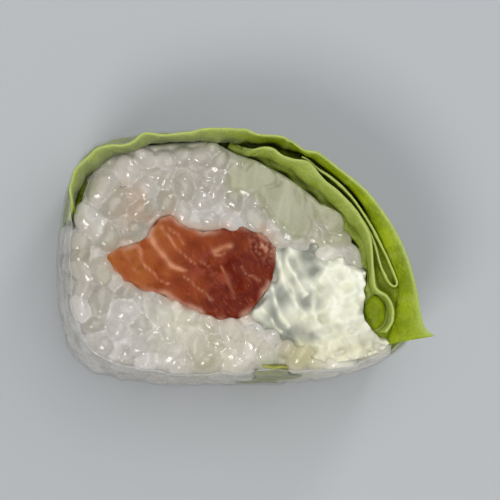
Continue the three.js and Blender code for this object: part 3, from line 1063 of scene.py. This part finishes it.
def add_heap(name, parts, detail, finish, replaced, salmon, greens):
    """Grains and starch as one sticky skin, each place with the looks of the grain it is on."""
    points, faces = joined(parts)
    skin, skin_faces = fused(points, faces, detail)
    skin[:, 2] = np.maximum(skin[:, 2], 0)
    tree = BVHTree.FromPolygons(points, faces)
    nearest = [faces[tree.find_nearest(Vector(point))[2]][0] for point in skin.tolist()]
    tint, cut, crown = np.vstack([looks for _, _, looks in parts])[nearest].T
    smear = smeared(skin) * step(HEIGHT - 3, HEIGHT - 1, skin[:, 2])
    patchy = np.clip(0.6 + 0.4 * field(skin, 2.5, 87), 0, 1)
    # painted reflected light: pink near the salmon and round one place, green near the leaf; green
    # also where the leaf shows between grains
    blush = 0.5 * step(-2.2, -0.2, sample(salmon, skin))
    blush = np.maximum(blush, 0.6 * near_to(BLUSH, 3.0, skin))
    green = 0.45 * step(-3.0, -0.5, sample(greens, skin))
    for place in GREEN_GAPS:
        green = np.maximum(green, 0.7 * near_to(place, 0.7, skin) * (1 - crown))
    return piece(
        name, skin, skin_faces, finish, "rice", replaced,
        tint=tint, cut=cut, crown=crown, smear=smear, blush=blush * patchy, green=green * patchy,
        stain=near_places(YELLOWED, skin), coated=near_places(COATED, skin),
        # painted shade in places
        dull=near_places(DULL, skin),
    )


def height_map(contents, rounds):
    """How high the contents reach on average near each grid point, wherever there are any."""
    tree = BVHTree.FromPolygons(*joined(contents))
    heights = np.zeros((len(GRID_Y), len(GRID_X)))
    found = np.zeros(heights.shape)
    for j, y in enumerate(GRID_Y):
        for i, x in enumerate(GRID_X):
            hit = tree.ray_cast(Vector((x, y, HEIGHT + 4)), Vector((0, 0, -1)), 6.5)
            if hit[0] is not None:
                heights[j, i] = hit[0][2]
                found[j, i] = 1
    heights, found = (
        softened(softened(values, rounds, axis=0), rounds, axis=1) for values in (heights, found)
    )
    return heights / np.maximum(found, 1e-3)


def add_rice(room, wall, loop, salmon, fillings, greens, pocket):
    """Separate grains, and cores whose tops are the starch that fills the gaps between them."""
    middle, axis, size = topped_up(*pack_rice(room), room)
    turn, scale = grain_frames(axis, size)
    depth = np.minimum.reduce([wall.depth(middle), HEIGHT - middle[:, 2], middle[:, 2]])
    high = middle[:, 2] > HEIGHT - FINE_BELOW
    low = ~high & (depth < CRUST)
    upper, lower = (
        grains(middle[part], turn[part], scale[part], wall, seed)
        for part, seed in ((high, 81), (low, 82))
    )
    paste = height_map([upper], 30)

    def top(flat, edge):
        beside = step(-1.6, -0.2, np.maximum(sample(salmon, flat), sample(greens, flat)))
        gap = np.maximum(1.0 + 0.25 * field(flat, 7.0, 83), 0.3) * (1 - 0.75 * beside)
        dragged = flat @ np.array([[1, 0], [0.2, 0.15]])
        spread = KNIFE - 0.6 + 0.1 * field(dragged, 1.5, 84) + 0.12 * field(flat, 3.5, 85)
        under = 2 * step(0, 0.8, sample(fillings, flat)) + rounded(edge, 0.6)
        level = np.maximum(sample(paste, flat) - gap, HEIGHT - 1.8)
        return level + (spread - level) * smeared(flat) - under

    close = np.maximum(smeared(loop), step(-3, -1.5, sample(greens, loop)))
    short = np.where(sample(fillings, loop) > -0.8, -1.0, 1.5 - 1.2 * close)
    main = evenly(softened(inset(loop, short), 4), 320, closed=True)
    seam = HEIGHT - FINE_BELOW
    finish = rice_finish()
    made = []
    for name, part, detail, replaced, face, floor in (
        ("rice_top", upper, TOP_DETAIL, ["rice"], top, seam - 1),
        ("rice_below", lower, BELOW_DETAIL, [], lambda flat, edge: seam + 0 * edge, 0.7),
    ):
        parts = [part]
        for outline in main, outline_round(pocket, POCKET_MIDDLE, 60):
            points, faces = column(outline, 0.5, face, floor)
            parts.append((points, faces, np.tile(PASTE_LOOKS, (len(points), 1))))
        made.append(add_heap(name, parts, detail, finish, replaced, salmon, greens))
    return made


# ---- rice paper

PAPER_COLUMNS, PAPER_ROWS = 420, 64
PAPER_TOP = HEIGHT - 0.7
PAPER_DEEPEST = -1.8  # from its solid's outline, outwards, where nothing holds it further out
RAY_START, RAY_LENGTH = 3, 6.4  # rays look for its contents from this far outside, inwards
CLING_ROUNDS = 40
MEAN_RADIUS = 28  # in plan, to turn an angle into a length


def add_paper(skin, contents):
    """The wet sheet clings to what it holds, so it follows the grains and the leaf under it."""
    outline = evenly(skin, PAPER_COLUMNS, closed=True)
    along = unit(np.roll(outline, -1, 0) - np.roll(outline, 1, 0))
    outward = unit(softened(np.stack([along[:, 1], -along[:, 0]], axis=1), 3))
    angle = np.linspace(0, 2 * math.pi, PAPER_COLUMNS, endpoint=False)
    top = PAPER_TOP + 0.3 * np.sin(3 * angle + 1) + 0.15 * np.sin(11 * angle)
    height = np.linspace(0, 1, PAPER_ROWS)[:, None] * top[None]
    base = np.concatenate([outline[None] * swell(height[..., None]), height[..., None]], axis=-1)
    out = np.concatenate([outward, np.zeros((PAPER_COLUMNS, 1))], axis=1)
    stand = np.full(height.shape, PAPER_DEEPEST)
    tree = BVHTree.FromPolygons(*joined(contents))
    for i in range(PAPER_ROWS):
        for j in range(PAPER_COLUMNS):
            start = base[i, j] + out[j] * RAY_START
            start[2] = min(max(start[2], 0.3), HEIGHT - 1.0)
            hit = tree.ray_cast(Vector(start), Vector(-out[j]), RAY_LENGTH)
            if hit[0] is not None:
                stand[i, j] = RAY_START - hit[3]
    stand = np.minimum(stand, -WRAPPER)
    cling = stand.copy()
    for _ in range(CLING_ROUNDS):
        padded = np.vstack([cling[:1], cling, cling[-1:]])
        mean = (padded[:-2] + padded[2:] + np.roll(cling, 1, 1) + np.roll(cling, -1, 1)) / 4
        cling = np.maximum(mean, stand)
    place = np.stack([np.broadcast_to(angle * MEAN_RADIUS, height.shape), height], axis=-1)
    crease = 0.05 * np.abs(field(place * (1, 0.5), 3.4, 91))
    grid = base + out * (cling + WRAPPER / 2 + crease)[..., None]
    thick = np.full(height.shape, WRAPPER)
    thick[-1] *= 0.6
    points, faces = shell(grid, thick, ring=True)
    points[:, 2] = np.maximum(points[:, 2], 0)
    rim = np.zeros(height.shape)
    rim[-1] = 0.2
    loose = step(0.15, 0.9, cling - stand)
    piece(
        "rice_paper_wrapper", points, faces, wrapper_finish(), "rice_paper", ["rice_paper"],
        rim=np.tile(rim.ravel(), 2), loose=np.tile(loose.ravel(), 2),
    )


# ---- stage

SKY = (0.93, 0.96, 1, 1)
SKY_STRENGTH = 0.42
EYE = Vector((-57, -54, 478)) * MM  # seen from above, a little from the left and the front
AIM = Vector((0, 0, HEIGHT)) * MM
VIEW_WIDTH = 82 * MM


def add_camera():
    camera = added("camera", bpy.data.cameras.new("camera"))
    back = (EYE - AIM).normalized()
    right = Vector((0, 1, 0)).cross(back).normalized()
    turn = Matrix((right, back.cross(right), back)).transposed()
    camera.matrix_world = Matrix.Translation(EYE) @ turn.to_4x4()
    camera.data.lens = camera.data.sensor_width * (EYE - AIM).length / VIEW_WIDTH
    bpy.context.scene.camera = camera


def add_light(name, place, size, power, shade):
    data = bpy.data.lights.new(name, "AREA")
    data.size = size
    data.energy = power
    data.color = shade
    light = added(name, data)
    light.location = place
    light.rotation_mode = "QUATERNION"
    light.rotation_quaternion = (-Vector(place)).to_track_quat("-Z", "Y")


def add_stage():
    mesh = bpy.data.meshes.new("floor")
    mesh.from_pydata([(-1, -1, 0), (1, -1, 0), (1, 1, 0), (-1, 1, 0)], [], [(0, 1, 2, 3)])
    made = Finish("floor", Roughness=0.6)
    cloud = made.range(made.noise(400, 1.0), 0.3, 0.7)
    made.set("Base Color", made.mix(cloud, (180, 183, 186), (185, 187, 189)))
    mesh.materials.append(made.material)
    added("floor", mesh)
    world = bpy.data.worlds.new("world")
    world.use_nodes = True
    sky = world.node_tree.nodes["Background"].inputs
    sky["Color"].default_value = SKY
    sky["Strength"].default_value = SKY_STRENGTH
    bpy.context.scene.world = world
    add_light("window", (-0.25, -0.35, 0.65), 0.24, 2.2, (1, 0.99, 0.97))
    add_light("ceiling", (0.1, 0.15, 0.8), 0.6, 1.8, (1, 1, 1))
    add_light("far_window", (0.25, 0.45, 0.4), 0.15, 0.7, (0.97, 0.98, 1))
    bpy.context.scene.view_settings.view_transform = "Standard"


# ---- the slice

add_camera()
add_stage()

skin = outline_of("rice_paper")
maps = {name: distance_map(base_loops(name)) for name in (
    "rice", "salmon", "cream_cheese", "lettuce_outer", "lettuce_inner", "lettuce_scrap",
)}
skin_map = distance_map([skin])
fillings = np.maximum(maps["salmon"], 0.5 * maps["cream_cheese"])
plan_x, plan_y = np.meshgrid(GRID_X, GRID_Y)
# Grains take the place of the outer leaf's thin left end, and stand behind the scrap of leaf
greens = np.maximum(maps["lettuce_outer"], maps["lettuce_inner"])
left_end = (plan_x < LEFT_END[0]) & (plan_y < LEFT_END[1])
rice_map = np.maximum(maps["rice"], maps["lettuce_scrap"])
rice_map = np.where(left_end, np.maximum(rice_map, greens), rice_map)
scrap = np.minimum.reduce([1.45 - skin_map, plan_x - 1.2, 7.7 - plan_x, -15 - plan_y])
greens = np.maximum(np.where(left_end, -3, greens), scrap)
layers = np.minimum.reduce([rice_map + 0.9, 1.5 - fillings, 0.25 - greens])
grain_room = Room(skin_map - GRAIN_ROOM, layers)
grain_wall = Room(skin_map - GRAIN_ROOM, 0.35 - greens)
pocket = np.minimum(maps["lettuce_scrap"] + 1.6, skin_map - 1.6)

leaves = add_lettuce(skin)
add_salmon(outline_of("salmon"))
cheese = add_cheese(maps["cream_cheese"], np.minimum.reduce([
    maps["cream_cheese"] + 2.4, skin_map - 0.8, 0.6 - maps["salmon"], 0.2 - greens,
]))
rice = add_rice(
    grain_room, grain_wall, outline_of("rice"), maps["salmon"], fillings, greens, pocket
)
add_paper(skin, [*leaves, *rice, cheese])
